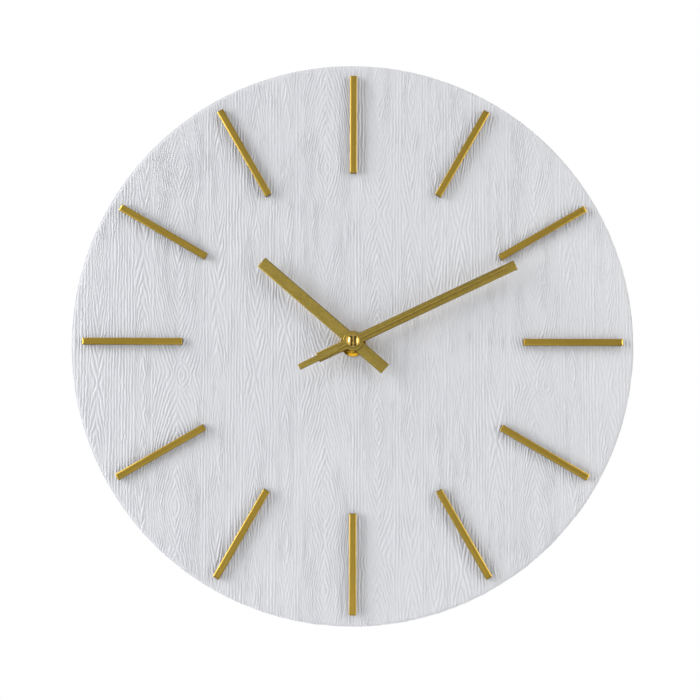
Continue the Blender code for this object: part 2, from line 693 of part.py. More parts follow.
def build_centre_wheel():
    """Turned by the third wheel; it drives the cannon pinion through the clutch spring."""
    axis = add_empty("centre_wheel_axis", clock)
    hole = CANNON_RADIUS + GAP
    teeth = wheel_mesh(CENTRE_TEETH, CENTRE_MODULE, THIRD_DIRECTION, 9.8 * MM, hole)
    add_part("centre_wheel", teeth, "white_plastic", axis)


# ---------------------------------------------------------------- motion work and hands


def build_cannon():
    axis = add_empty("minute_axis", clock)
    toward = MOTION_DIRECTION
    teeth = pinion_mesh(CANNON_TEETH, MOTION_MODULE, toward, 11.1 * MM, 12.4 * MM)
    cannon = add_part("cannon_pinion", teeth, "brass", axis)
    top = MINUTE_HAND_LOW + HAND_THICKNESS + 0.4 * MM
    apply_boolean(cannon, cylinder(CANNON_RADIUS, 9.6 * MM, top, segments=24), "UNION")
    apply_boolean(cannon, cylinder(CANNON_BORE, 9.0 * MM, top + MM, segments=24), "DIFFERENCE")
    spring = ring(CANNON_RADIUS + GAP, 4.4 * MM, 10.6 * MM, 10.8 * MM, 24)
    add_part("clutch_spring", spring, "steel", axis)
    return axis


def build_motion_wheel():
    axis = add_empty("motion_axis", clock, MOTION)
    teeth = wheel_mesh(MOTION_TEETH, MOTION_MODULE, MOTION_DIRECTION + math.pi, 11.4 * MM)
    wheel = add_part("motion_wheel", teeth, "amber_plastic", axis)
    toward = MOTION_DIRECTION + math.pi
    pinion = pinion_mesh(MOTION_PINION, MOTION_MODULE, toward, 11.7 * MM, 14.0 * MM)
    apply_boolean(wheel, pinion, "UNION")
    apply_boolean(wheel, cylinder(0.8 * MM, 3.0 * MM, 15.2 * MM, segments=16), "UNION")
    build_knob(axis)


def build_knob(axis):
    """The setting knob, pressed on the motion wheel's arbor, with a fluted rim."""
    flutes, ridge, valley = 20, 4.7 * MM, 4.4 * MM
    turns = range(2 * flutes)
    rim = [polar(valley if k % 2 else ridge, math.pi * k / flutes) for k in turns]
    knob = add_part("setting_knob", outlined([rim], 0.4 * MM, 2.2 * MM), "white_plastic", axis)
    apply_boolean(knob, cylinder(1.9 * MM, 2.0 * MM, 5.0 * MM, segments=20), "UNION")
    apply_boolean(knob, cylinder(1.0 * MM, 2.6 * MM, 6.0 * MM, segments=16), "DIFFERENCE")


def build_hour_wheel():
    axis = add_empty("hour_axis", clock)
    teeth = wheel_mesh(HOUR_TEETH, MOTION_MODULE, MOTION_DIRECTION, 12.8 * MM)
    wheel = add_part("hour_wheel", teeth, "white_plastic", axis)
    top = HOUR_HAND_LOW + HAND_THICKNESS + 0.4 * MM
    apply_boolean(wheel, cylinder(PIPE_RADIUS, 12.9 * MM, top, segments=24), "UNION")
    apply_boolean(wheel, cylinder(PIPE_BORE, 12.0 * MM, top + MM, segments=24), "DIFFERENCE")
    return axis


def hand_outline(tip, tail, width, boss):
    """A straight hand that points to twelve, with square ends and a round boss."""
    half = width / 2
    meet = math.asin(half / boss)
    right = arc(boss, meet - math.pi / 2, math.pi / 2 - meet, 10)
    left = arc(boss, math.pi / 2 + meet, 1.5 * math.pi - meet, 10)
    ends = [Vector((half, tip)), Vector((-half, tip))]
    tails = [Vector((-half, -tail)), Vector((half, -tail))]
    return right + ends + left + tails


def second_outline():
    """A thin blade with a round hub and a rectangular counterweight paddle behind it."""
    half, paddle, boss = SECOND_WIDTH / 2, PADDLE_WIDTH / 2, SECOND_BOSS_RADIUS
    meet = math.asin(half / boss)
    right_side = [(paddle, -PADDLE_END), (paddle, -PADDLE_START), (half, -PADDLE_START)]
    left_side = [(-x, y) for x, y in reversed(right_side)]
    outline = arc(boss, meet - math.pi / 2, math.pi / 2 - meet, 10)
    outline += [Vector((half, SECOND_TIP)), Vector((-half, SECOND_TIP))]
    outline += arc(boss, math.pi / 2 + meet, 1.5 * math.pi - meet, 10)
    outline += [Vector(point) for point in left_side + right_side]
    return outline


def build_hands(hour_axis, minute_axis, seconds_axis):
    low, high = HOUR_HAND_LOW, HOUR_HAND_LOW + HAND_THICKNESS
    outline = hand_outline(HOUR_TIP, HOUR_TAIL, HOUR_WIDTH, HOUR_BOSS_RADIUS)
    mesh = outlined([outline, circle(PIPE_RADIUS + 0.2 * MM)], low, high)
    hour = add_part("hour_hand", mesh, "satin_gold", hour_axis)
    low, high = MINUTE_HAND_LOW, MINUTE_HAND_LOW + HAND_THICKNESS
    outline = hand_outline(MINUTE_TIP, MINUTE_TAIL, MINUTE_WIDTH, MINUTE_BOSS_RADIUS)
    mesh = outlined([outline, circle(CANNON_RADIUS + 0.2 * MM)], low, high)
    minute = add_part("minute_hand", mesh, "satin_gold", minute_axis)
    low, high = SECOND_HAND_LOW, SECOND_HAND_LOW + SECOND_THICKNESS
    tube_radius = 1.8 * MM
    mesh = outlined([second_outline(), circle(tube_radius + 0.2 * MM)], low, high)
    second = add_part("second_hand", mesh, "satin_gold", seconds_axis)
    for hand, angle in ((hour, HOUR_ANGLE), (minute, MINUTE_ANGLE), (second, SECOND_ANGLE)):
        hand.rotation_euler.z = -math.radians(angle)
    tube = ring(SHAFT_RADIUS + 0.2 * MM, tube_radius, low - 0.6 * MM, high + 0.25 * MM, 20)
    add_part("second_hand_tube", tube, "brass", seconds_axis)


def build_cap(seconds_axis):
    """A polished button, a shallow dome on a straight wall, over the end of the seconds tube."""
    top = CAP_LOW + CAP_HEIGHT
    sphere = CAP_RADIUS / math.sin(CAP_SLOPE)
    slopes = [CAP_SLOPE * k / 6 for k in range(7)]
    profile = [(sphere * math.sin(a), top - sphere * (1 - math.cos(a))) for a in slopes]
    profile += [(CAP_RADIUS, CAP_LOW), (0.0, CAP_LOW)]
    add_part("hand_cap", turned(profile, 32, closed=False), "polished_gold", seconds_axis)


clear_scene()
parts = new_collection("wall_clock")
cutters = new_collection("cutters")
clock = add_empty("clock")
clock.rotation_euler.x = math.pi / 2

build_board()
build_facing()
build_bars()
build_fastenings()
build_hanger()
build_front_case()
build_rear_cover()
build_centre_plate()
build_circuit()
build_coil()
build_stator()
build_battery()
build_contacts()
build_rotor()
build_first_wheel()
the_seconds_axis = build_seconds_wheel()
build_third_wheel()
build_centre_wheel()
the_minute_axis = build_cannon()
build_motion_wheel()
the_hour_axis = build_hour_wheel()
build_hands(the_hour_axis, the_minute_axis, the_seconds_axis)
build_cap(the_seconds_axis)
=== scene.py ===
"""The looks of the round wall clock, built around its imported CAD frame.

New pieces are modelled in a bench frame, face up: X to the right, Y to twelve o'clock, and Z from
the wall towards the viewer. BENCH then stands them up against the wall, as the CAD stands.
"""

import math
from collections import namedtuple

import bmesh
import bpy
import numpy as np
from mathutils import Matrix, Vector
from mathutils.geometry import tessellate_polygon


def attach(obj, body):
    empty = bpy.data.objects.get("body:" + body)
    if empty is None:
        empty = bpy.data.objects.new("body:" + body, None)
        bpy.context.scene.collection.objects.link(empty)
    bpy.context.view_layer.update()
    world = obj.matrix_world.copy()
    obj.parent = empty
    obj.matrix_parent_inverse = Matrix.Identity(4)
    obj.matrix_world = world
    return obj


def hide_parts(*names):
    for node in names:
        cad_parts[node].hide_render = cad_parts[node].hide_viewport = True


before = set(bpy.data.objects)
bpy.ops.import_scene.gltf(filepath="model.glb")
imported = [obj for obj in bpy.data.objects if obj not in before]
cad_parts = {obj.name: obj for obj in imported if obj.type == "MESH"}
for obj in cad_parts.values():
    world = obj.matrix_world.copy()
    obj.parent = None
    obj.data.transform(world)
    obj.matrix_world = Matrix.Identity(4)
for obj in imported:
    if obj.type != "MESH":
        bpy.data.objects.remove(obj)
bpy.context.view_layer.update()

MM = 0.001
BENCH = Matrix.Rotation(math.pi / 2, 4, "X")
AXIS = (0.0, 0.0)
QUARTER = math.pi / 2
SHARP_ANGLE = math.radians(32)

# Embossed facing
RELIEF = 0.6 * MM
EDGE_ROUND = 2.0 * MM
FACING_THICKNESS = 0.8 * MM
GRID_COLUMNS, GRID_ROWS, GRID_END = 1440, 330, math.radians(1.5)
HOLE_WINDOW = 6.4 * MM
RIM_STEPS, WALL_STEPS = 7, 6
FACING_SHARP_ANGLE = math.radians(75)

# Board
BOARD_EDGE = 0.4 * MM
BOARD_SEGMENTS = 256

# Bars: their chamfers' width and fall, their broken edges, and how deep they stand in the relief
BAR_CHAMFER, BAR_FALL, BAR_EDGE = 0.95 * MM, 0.28 * MM, 0.12 * MM
BAR_FOOT = 0.25 * MM

# Hands: the rolled edge as a share of the thickness
ROLLED_SHARE = 0.75
BOSS_STEPS, BORE_STEPS = 24, 48

# Bushing, nut, washer and cap
THREAD_PITCH, THREAD_DEPTH, THREAD_STEPS = 0.75 * MM, 0.35 * MM, 12
BUSHING_SEGMENTS = 64
NUT_SLOPE, NUT_CHAMFER, NUT_SEGMENTS = math.radians(16), 0.35 * MM, 144
NUT_SHARP_ANGLE = math.radians(20)
WASHER_SLOPE, WASHER_SLOPE_WIDTH, WASHER_EDGE = math.radians(15), 1.8 * MM, 0.12 * MM
WASHER_SEGMENTS, WASHER_SHARP_ANGLE = 128, math.radians(12)
CAP_CORNER, CAP_EDGE, CAP_SEGMENTS = 0.25 * MM, 0.1 * MM, 96
# The angle left open round the cap's pole
CAP_POLE_GAP = 0.001

# Points closer than this lie at the same depth
SAME_DEPTH = 0.01 * MM

# Softboxes, aimed at the dial: two upright ones graze it from the sides, the key light from the
# left, and the others light it from the top, from below and from behind. Those that aren't
# mirrored don't show in the gold.
Softbox = namedtuple("Softbox", "name place width height power colour mirrored")
WHITE, WARM = (1.0, 1.0, 1.0), (1.0, 0.96, 0.86)
SOFTBOXES = (
    Softbox("key_softbox", (-1.8, -0.7, 0.45), 0.7, 1.8, 33.0, WHITE, True),
    Softbox("side_softbox", (1.0, -0.5, 0.10), 0.35, 1.0, 3.5, WARM, True),
    Softbox("top_softbox", (0.5, -0.6, 1.0), 1.0, 0.5, 4.4, WHITE, False),
    Softbox("low_softbox", (0.0, -0.66, -0.38), 0.5, 0.12, 0.1, WHITE, True),
    Softbox("rear_softbox", (1.3, 1.3, 0.9), 0.8, 0.8, 22.0, WHITE, True),
)
# The room's light by how far to either side it comes from, 0 straight ahead and 1 at the side
ROOM_LEVELS = ((0.0, 0.47), (0.13, 0.43), (0.24, 0.08), (0.55, 0.10), (0.8, 0.95))
ROOM_COLOUR = (0.97, 0.98, 1.0)
# The floor's height, and the distances from the clock's foot where it starts to fade and ends
FLOOR_HEIGHT = -0.45
FLOOR_FADE = (0.25, 0.88)

# The camera stands straight in front of the dial, a little low, and is tilted up
CAMERA_PLACE = (-0.00814, -0.7268, -0.0477)
CAMERA_TILT, CAMERA_ROLL, CAMERA_TURN = (math.radians(a) for a in (93.5, -0.109, -0.518))
CAMERA_SENSOR, CAMERA_LENS = 36.0, 58.06


# ---------------------------------------------------------------- the frame's sizes


def bench_points(node):
    """A CAD node's points in the bench frame."""
    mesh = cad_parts[node].data
    points = np.zeros(len(mesh.vertices) * 3)
    mesh.vertices.foreach_get("co", points)
    x, y, z = points.reshape(-1, 3).T
    return np.column_stack((x, z, -y))


def bench_box(node):
    points = bench_points(node)
    return Vector(points.min(axis=0)), Vector(points.max(axis=0))


FACING_LOW, FACING_HIGH = bench_box("dial_facing")
DISC_RADIUS = FACING_HIGH.x
FACE, DISC_BACK = FACING_HIGH.z, FACING_LOW.z
HOLE_RADIUS = float(np.hypot(*bench_points("dial_facing")[:, :2].T).min())
# The facing's smooth base, that the relief stands on, and its flat part inside the rounded edge
BASE_FACE, FLAT_RADIUS = FACE - RELIEF, DISC_RADIUS - RELIEF - EDGE_ROUND
INNER_FACE, INNER_RADIUS = FACE - FACING_THICKNESS, DISC_RADIUS - FACING_THICKNESS


# ---------------------------------------------------------------- materials


def screen(red, green, blue):
    """A linear colour from the 0-255 values that a screen shows."""
    shares = [value / 255 for value in (red, green, blue)]
    return tuple(s / 12.92 if s <= 0.04045 else ((s + 0.055) / 1.055) ** 2.4 for s in shares)


# The colour sockets of a Mix node
MIX_COLOUR_A, MIX_COLOUR_B, MIX_COLOUR_OUT = 6, 7, 2
# The Wave texture's scale for bands one unit apart
BAND_SCALE = 0.314
TARNISH = 0.72


class Recipe:
    """A procedural material in the making: a Principled shader and the nodes that feed it."""

    def __init__(self, name, colour, roughness, metallic=0.0):
        self.material = bpy.data.materials.new(name)
        self.material.use_nodes = True
        self.nodes = self.material.node_tree.nodes
        self.links = self.material.node_tree.links
        self.shader = self.nodes["Principled BSDF"]
        self.colour = None
        self.height = None
        self.place = self.nodes.new("ShaderNodeTexCoord").outputs["Object"]
        self.set("Base Color", (*colour, 1.0))
        self.set("Roughness", roughness)
        self.set("Metallic", metallic)

    def set(self, socket, value):
        """Gives one of the shader's own sockets a uniform value."""
        self.shader.inputs[socket].default_value = value

    def stretched(self, stretch):
        """The surface point with each of its coordinates scaled."""
        node = self.nodes.new("ShaderNodeMapping")
        node.inputs["Scale"].default_value = stretch
        self.links.new(self.place, node.inputs["Vector"])
        return node.outputs["Vector"]

    def noise(self, size, stretch=(1, 1, 1), detail=2.0, distortion=0.0):
        """Noise with marks of about that size; a stretch below 1 lengthens them that way."""
        node = self.nodes.new("ShaderNodeTexNoise")
        node.inputs["Scale"].default_value = 1 / size
        node.inputs["Detail"].default_value = detail
        node.inputs["Distortion"].default_value = distortion
        self.links.new(self.stretched(stretch), node.inputs["Vector"])
        return node.outputs["Fac"]

    def cells(self, size, stretch=(1, 1, 1)):
        """The distance to the nearest of scattered points about that far apart."""
        node = self.nodes.new("ShaderNodeTexVoronoi")
        node.inputs["Scale"].default_value = 1 / size
        self.links.new(self.stretched(stretch), node.inputs["Vector"])
        return node.outputs["Distance"]

    def bands(self, size, direction="X", distortion=0.0):
        """Bands about that far apart along an axis."""
        node = self.nodes.new("ShaderNodeTexWave")
        node.bands_direction = direction
        node.inputs["Scale"].default_value = BAND_SCALE / size
        node.inputs["Distortion"].default_value = distortion
        self.links.new(self.place, node.inputs["Vector"])
        return node.outputs["Fac"]

    def coordinate(self, vector, direction):
        node = self.nodes.new("ShaderNodeSeparateXYZ")
        self.links.new(vector, node.inputs["Vector"])
        return node.outputs[direction]

    def facing(self, direction):
        """How far the surface turns towards an axis of the piece, from -1 to 1."""
        normal = self.nodes.new("ShaderNodeTexCoord").outputs["Normal"]
        return self.coordinate(normal, direction)

    def along(self, direction):
        """How far the surface point lies along an axis, in metres."""
        return self.coordinate(self.place, direction)

    def spread(self, value, low, high, start, end):
        """Maps a value that runs from start to end to one that runs from low to high."""
        node = self.nodes.new("ShaderNodeMapRange")
        for socket, number in zip(("From Min", "From Max", "To Min", "To Max"), (start, end, low, high)):
            node.inputs[socket].default_value = number
        self.links.new(value, node.inputs["Value"])
        return node.outputs["Result"]

    def tint(self, value, colour, amount=1.0, start=0.4, end=0.6):
        """Lays a colour over what is there, more of it as the value runs from start to end."""
        node = self.nodes.new("ShaderNodeMix")
        node.data_type = "RGBA"
        base = self.shader.inputs["Base Color"]
        if self.colour is None:
            node.inputs[MIX_COLOUR_A].default_value = base.default_value
        else:
            self.links.new(self.colour, node.inputs[MIX_COLOUR_A])
        node.inputs[MIX_COLOUR_B].default_value = (*colour, 1.0)
        self.links.new(self.spread(value, 0.0, amount, start, end), node.inputs["Factor"])
        self.colour = node.outputs[MIX_COLOUR_OUT]
        self.links.new(self.colour, base)
        return self

    def rough(self, value, low, high, start=0.3, end=0.7):
        """Takes the roughness from low to high as the value runs from start to end."""
        self.links.new(self.spread(value, low, high, start, end), self.shader.inputs["Roughness"])
        return self

    def bump(self, value, depth, strength=1.0):
        """Raises the surface by up to that depth as the value runs from 0 to 1."""
        node = self.nodes.new("ShaderNodeBump")
        node.inputs["Strength"].default_value = strength
        node.inputs["Distance"].default_value = depth
        self.links.new(value, node.inputs["Height"])
        if self.height is not None:
            self.links.new(self.height, node.inputs["Normal"])
        self.height = node.outputs["Normal"]
        self.links.new(self.height, self.shader.inputs["Normal"])
        return self


def grey_facing():
    paint = Recipe("grey_facing", screen(226, 227, 231), 0.5)
    paint.set("Specular IOR Level", 0.35)
    upright = (1.0, 1.0, 0.16)
    paint.tint(paint.noise(40 * MM, detail=4), screen(219, 221, 227), 0.4)
    paint.tint(paint.noise(0.9 * MM, upright, 3), screen(212, 214, 220), 0.35, 0.45, 0.75)
    paint.rough(paint.noise(3 * MM, upright, 3), 0.44, 0.6)
    paint.bump(paint.noise(0.7 * MM, upright, 3), 0.05 * MM)
    paint.bump(paint.noise(0.22 * MM, detail=2), 0.012 * MM)
    return paint.material


def fibreboard():
    board = Recipe("fibreboard", screen(158, 124, 88), 0.85)
    board.tint(board.noise(30 * MM, detail=3), screen(140, 106, 72), 0.2)
    board.tint(board.noise(0.5 * MM, (1, 1, 0.2), 4, 1.5), screen(108, 78, 48), 0.6, 0.5, 0.75)
    board.tint(board.noise(0.6 * MM, (0.2, 1, 1), 4, 1.5), screen(188, 156, 118), 0.6, 0.52, 0.75)
    board.tint(board.cells(1.6 * MM), screen(92, 66, 42), 0.5, 0.16, 0.08)
    board.rough(board.noise(1.5 * MM), 0.75, 0.95)
    board.bump(board.noise(0.5 * MM, (1, 1, 0.3), 4, 1.0), 0.05 * MM)
    return board.material


def metal(name, colour, low, high, streak, grain, scratch=0.004 * MM):
    """A metal with streaks drawn out along its grain, cloudy tarnish and fine scratches."""
    recipe = Recipe(name, colour, (low + high) / 2, 1.0)
    darker = tuple(TARNISH * c for c in colour)
    streaks = recipe.noise(streak, grain, 4)
    recipe.tint(recipe.noise(9 * MM, detail=3), darker, 0.25, 0.4, 0.75)
    recipe.rough(streaks, low, high)
    recipe.bump(streaks, scratch)
    return recipe


def gold_bar():
    """Satin face; the sides are darkened with painted shade, so they throw no warm glow onto the dial.
    """
    gold = metal("gold_bar", screen(242, 203, 90), 0.34, 0.42, 0.2 * MM, (1, 0.02, 1), 0.001 * MM)
    # Painted shade: faces turned away from the front of the bar are darkened.
    gold.tint(gold.facing("Z"), screen(84, 66, 30), 0.85, 0.6, 0.2)
    return gold.material


def gold_hand():
    """Satin face; the rolled edges carry painted shade, darker all round for the thin shadow along a
    hand's edges, and darkest on the clockwise side, painted as the side away from the light.
    """
    gold = metal("gold_hand", screen(242, 212, 108), 0.34, 0.46, 0.10 * MM, (1, 0.015, 1))
    gold.tint(gold.noise(0.9 * MM, (1, 0.4, 1), 3), screen(176, 150, 66), 0.35, 0.45, 0.7)
    # Painted shade: the rolled edges are darkened all round.
    gold.tint(gold.facing("Z"), screen(124, 92, 16), 0.6, 0.995, 0.9)
    # Painted shade: the clockwise side's rolled edge is darker still, as the side turned away from the
    # light.
    gold.tint(gold.facing("X"), screen(92, 68, 14), 0.85, 0.1, 0.5)
    return gold.material


def gold_fitting():
    gold = metal("gold_fitting", screen(236, 184, 56), 0.06, 0.14, 0.5 * MM, (1, 1, 1), 0.0004 * MM)
    return gold.material


def gold_cap():
    """Polished and lacquered; the lacquer's own reflections are white."""
    gold = metal("gold_cap", screen(240, 196, 76), 0.05, 0.1, 0.5 * MM, (1, 1, 1), 0.0004 * MM)
    gold.set("Coat Weight", 1.0)
    gold.set("Coat IOR", 1.75)
    gold.set("Coat Roughness", 0.04)
    return gold.material


def brass():
    turned_brass = metal("brass", screen(205, 170, 95), 0.2, 0.38, 0.15 * MM, (0.2, 1, 0.2))
    return turned_brass.material


def steel():
    plate = metal("steel", screen(188, 190, 192), 0.28, 0.46, 0.3 * MM, (1, 1, 0.08))
    plate.tint(plate.noise(2.5 * MM, detail=4), screen(168, 172, 160), 0.5, 0.45, 0.65)
    return plate.material


def plastic(name, colour, low, high, texture, depth):
    """A moulded plastic: spark-eroded texture, faint flow marks and rubbed patches."""
    recipe = Recipe(name, colour, (low + high) / 2)
    lighter = tuple(min(1.0, 1.25 * c + 0.006) for c in colour)
    recipe.tint(recipe.noise(11 * MM, (1, 1, 0.4), 3), lighter, 0.5, 0.4, 0.7)
    recipe.rough(recipe.noise(4 * MM, detail=4), low, high)
    recipe.bump(recipe.noise(texture, detail=3), depth)
    return recipe


def black_plastic():
    return plastic("black_plastic", screen(34, 34, 36), 0.42, 0.6, 0.35 * MM, 0.03 * MM).material


def white_plastic():
    acetal = plastic("white_plastic", screen(232, 231, 226), 0.32, 0.48, 1.2 * MM, 0.006 * MM)
    acetal.set("Subsurface Weight", 0.15)
    acetal.set("Subsurface Radius", (0.0012, 0.0010, 0.0008))
    return acetal.material


def amber_plastic():
    acetal = plastic("amber_plastic", screen(188, 122, 46), 0.3, 0.45, 1.2 * MM, 0.006 * MM)
    acetal.set("Subsurface Weight", 0.2)
    acetal.set("Subsurface Radius", (0.0014, 0.0007, 0.0002))
    return acetal.material


def circuit_green():
    board = Recipe("circuit_green", screen(28, 92, 52), 0.35)
    board.set("Coat Weight", 0.5)
    board.tint(board.bands(1.1 * MM, "X", 2.5), screen(44, 122, 66), 0.8, 0.55, 0.7)
    board.tint(board.noise(0.3 * MM, detail=2), screen(20, 70, 40), 0.4, 0.5, 0.7)
    board.rough(board.noise(1.2 * MM), 0.26, 0.42)
    board.bump(board.bands(0.35 * MM, "Z"), 0.008 * MM)
    return board.material


def black_resin():
    resin = Recipe("black_resin", screen(18, 18, 20), 0.2)
    resin.tint(resin.noise(1.5 * MM, detail=3), screen(40, 40, 44), 0.6)
    resin.rough(resin.noise(0.6 * MM), 0.12, 0.3)
    resin.bump(resin.noise(0.8 * MM, detail=3), 0.04 * MM)
    return resin.material


def copper_wire():
    wire = Recipe("copper_wire", screen(190, 102, 58), 0.3, 1.0)
    wire.set("Coat Weight", 0.6)
    wire.tint(wire.noise(1.5 * MM, detail=2), screen(150, 70, 36), 0.7)
    wire.rough(wire.noise(0.5 * MM), 0.22, 0.4)
    wire.bump(wire.bands(0.12 * MM, "X"), 0.03 * MM)
    return wire.material


def magnet():
    block = Recipe("magnet", screen(84, 84, 88), 0.45, 0.7)
    block.tint(block.noise(0.4 * MM, detail=4), screen(58, 58, 62), 0.8)
    block.rough(block.noise(0.5 * MM), 0.35, 0.6)
    block.bump(block.noise(0.15 * MM, detail=3), 0.015 * MM)
    return block.material


def rubber():
    ring = Recipe("rubber", screen(40, 40, 41), 0.8)
    ring.tint(ring.noise(2 * MM, detail=4), screen(62, 61, 60), 0.6)
    ring.rough(ring.noise(1 * MM), 0.7, 0.92)
    ring.bump(ring.noise(0.3 * MM, detail=4), 0.04 * MM)
    return ring.material


def cell_wrap():
    """A printed sleeve: one plain colour, a second one round the positive end, and its bare rim."""
    film = Recipe("cell_wrap", screen(30, 62, 118), 0.32)
    film.set("Coat Weight", 0.4)
    edge = bench_box("battery")[1].x
    film.tint(film.along("X"), screen(190, 140, 62), 1.0, edge - 15.2 * MM, edge - 15.0 * MM)
    film.tint(film.along("X"), screen(196, 198, 200), 1.0, edge - 1.5 * MM, edge - 1.4 * MM)
    film.tint(film.noise(6 * MM, detail=4), screen(24, 48, 92), 0.25)
    film.rough(film.noise(3 * MM, (0.2, 1, 1), 3), 0.24, 0.42)
    film.bump(film.noise(1.5 * MM, (0.15, 1, 1), 3), 0.02 * MM)
    return film.material


FINISHES = (
    grey_facing,
    fibreboard,
    gold_bar,
    gold_hand,
    gold_fitting,
    gold_cap,
    brass,
    steel,
    black_plastic,
    white_plastic,
    amber_plastic,
    circuit_green,
    black_resin,
    copper_wire,
    magnet,
    rubber,
    cell_wrap,
)
materials = {make.__name__: make() for make in FINISHES}

# The CAD nodes that keep their shape, by the slot that finishes them
KEPT_NODES = {
    "brass": ("cannon_pinion", "second_hand_tube"),
    "steel": (
        "hanger_plate",
        "quartz_crystal",
        "coil_core",
        "stator_plate",
        "contact_negative",
        "contact_positive",
        "seconds_shaft",
        "clutch_spring",
    ),
    "black_plastic": ("movement_front_case", "movement_rear_cover"),
    "white_plastic": (
        "centre_plate",
        "coil_bobbin",
        "rotor_pinion",
        "intermediate_wheel",
        "seconds_wheel",
        "centre_wheel",
        "hour_wheel",
        "setting_knob",
    ),
    "amber_plastic": ("third_wheel", "motion_wheel"),
    "circuit_green": ("circuit_board",),
    "black_resin": ("controller_chip",),
    "copper_wire": ("coil_winding",),
    "magnet": ("rotor_magnet",),
    "rubber": ("rubber_washer",),
    "cell_wrap": ("battery",),
}


def finish_kept_nodes():
    for slot, nodes in KEPT_NODES.items():
        for node in nodes:
            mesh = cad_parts[node].data
            mesh.materials.clear()
            mesh.materials.append(materials[slot])


# ---------------------------------------------------------------- making pieces


def add_piece(name, mesh, body, slot, replaced=(), place=None, sharp=SHARP_ANGLE, finish=None):
    """A named piece, modelled in the bench frame, that rides on a body of the frame.

    Its material is the one named as its slot, unless it has a finish of its own.
    """
    piece = bpy.data.objects.new(name, mesh)
    bpy.context.scene.collection.objects.link(piece)
    piece.matrix_world = BENCH @ (place or Matrix.Identity(4))
    mesh.materials.append(materials[finish or slot])
    mesh.shade_smooth()
    mesh.set_sharp_from_angle(angle=sharp)
    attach(piece, body)
    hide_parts(*replaced)
    return piece


def from_bmesh(work, name):
    bmesh.ops.recalc_face_normals(work, faces=work.faces)
    mesh = bpy.data.meshes.new(name)
    work.to_mesh(mesh)
    work.free()
    return mesh


def swept_rings(rings, name, closed=True):
    """A skin over rings of points, each with the same number of points.

    A closed skin joins its last ring to its first; an open one is capped at both ends.
    """
    work = bmesh.new()
    made = [[work.verts.new(point) for point in ring] for ring in rings]
    count = len(made[0])
    pairs = list(zip(made, made[1:] + made[:1])) if closed else list(zip(made, made[1:]))
    for first, second in pairs:
        for k in range(count):
            work.faces.new((first[k], first[(k + 1) % count], second[(k + 1) % count], second[k]))
    if not closed:
        work.faces.new(made[0])
        work.faces.new(made[-1])
    return from_bmesh(work, name)


def turned(profile, name, segments=96, closed=True, centre=AXIS):
    """A (radius, depth) profile turned about the hands' axis, or about a parallel one."""
    steps = [2 * math.pi * k / segments for k in range(segments)]
    rings = [
        [(centre[0] + r * math.cos(a), centre[1] + r * math.sin(a), z) for a in steps]
        for r, z in profile
    ]
    return swept_rings(rings, name, closed)


def polar(radius, angle):
    return (radius * math.cos(angle), radius * math.sin(angle))


def arc(radius, start, end, steps, centre=AXIS):
    """Points on an arc, as (across, along) pairs; angles in radians."""
    angles = [start + (end - start) * k / steps for k in range(steps + 1)]
    return [(centre[0] + radius * math.cos(a), centre[1] + radius * math.sin(a)) for a in angles]


# ---------------------------------------------------------------- the embossed facing

# The grain is fine upright ridges. Down some upright strips they give way to nested pointed ovals,
# which shrink to a knot, open out again and have a waist halfway. Millimetres from the hands' axis.
RIDGE_PITCH = 1.85
WIDE_RISE, NARROW_RISE = 6.2, 9.9
POINT_ROUNDING, STRIP_EDGE = 0.4, 1.2
KNOT_RADIUS, KNOT_SQUASH = 6.0, 0.55
STRIP_PERIOD = 211.0
EYE_FROM_KNOT = 80.5
GRAIN_BASE, RIDGE_SHARE, FIBRE_SHARE = 0.12, 0.72, 0.2
RIDGE_DEPTH = 0.72
Strip = namedtuple("Strip", "across knot_height half_width knot_shift")
WIDE_STRIPS = (
    Strip(-108.6, -20.5, 15.0, 3.0),
    Strip(-17.1, -20.5, 15.5, 6.5),
    Strip(15.5, 77.5, 9.0, -5.0),
    Strip(113.0, -26.5, 15.0, 6.5),
)
NARROW_STRIPS = (
    Strip(-158.0, -25.0, 4.5, 0.0),
    Strip(-130.0, 60.0, 4.5, 0.0),
    Strip(-84.0, 30.0, 5.0, 0.0),
    Strip(-60.5, -20.5, 6.5, 0.0),
    Strip(-41.5, 10.0, 5.0, 0.0),
    Strip(36.0, 77.0, 5.5, 0.0),
    Strip(50.5, 25.0, 4.5, 0.0),
    Strip(67.0, 70.0, 6.0, 0.0),
    Strip(88.5, -60.0, 5.0, 0.0),
    Strip(136.0, 60.0, 5.0, 0.0),
    Strip(158.0, -27.0, 5.5, 0.0),
)
NOISE_CELLS = 256
Noise = namedtuple("Noise", "seed across along strength")
SWAY, SHAKE = Noise(3, 7.0, 26.0, 0.45), Noise(5, 1.6, 2.8, 0.42)
LIFT = Noise(23, 9.0, 40.0, 4.0)
RAGGED = Noise(29, 4.0, 5.0, 1.8)
DEPTH_CHANGE = Noise(11, 3.0, 14.0, 0.42)
FINE_FIBRES, COARSE_FIBRES = Noise(13, 0.5, 5.0, 0.45), Noise(17, 0.8, 9.0, 0.55)


def value_noise(noise, x, y):
    """Smooth noise as strong either way as stated, with cells of across by along millimetres."""
    values = np.random.default_rng(noise.seed).uniform(-1, 1, (NOISE_CELLS, NOISE_CELLS))
    x, y = x / noise.across, y / noise.along
    column, row = np.floor(x).astype(int), np.floor(y).astype(int)
    right, up = x - column, y - row
    right, up = (t * t * (3 - 2 * t) for t in (right, up))
    column, row = column % NOISE_CELLS, row % NOISE_CELLS
    next_column, next_row = (column + 1) % NOISE_CELLS, (row + 1) % NOISE_CELLS
    low = values[column, row] * (1 - right) + values[next_column, row] * right
    high = values[column, next_row] * (1 - right) + values[next_column, next_row] * right
    return noise.strength * (low * (1 - up) + high * up)


def wave(phase):
    return (0.5 + 0.5 * np.cos(2 * math.pi * phase)) ** 0.8


def inside(distance, edge, softness):
    """1 well within the edge and 0 well outside it."""
    return 0.5 + 0.5 * np.tanh((edge - distance) / softness)


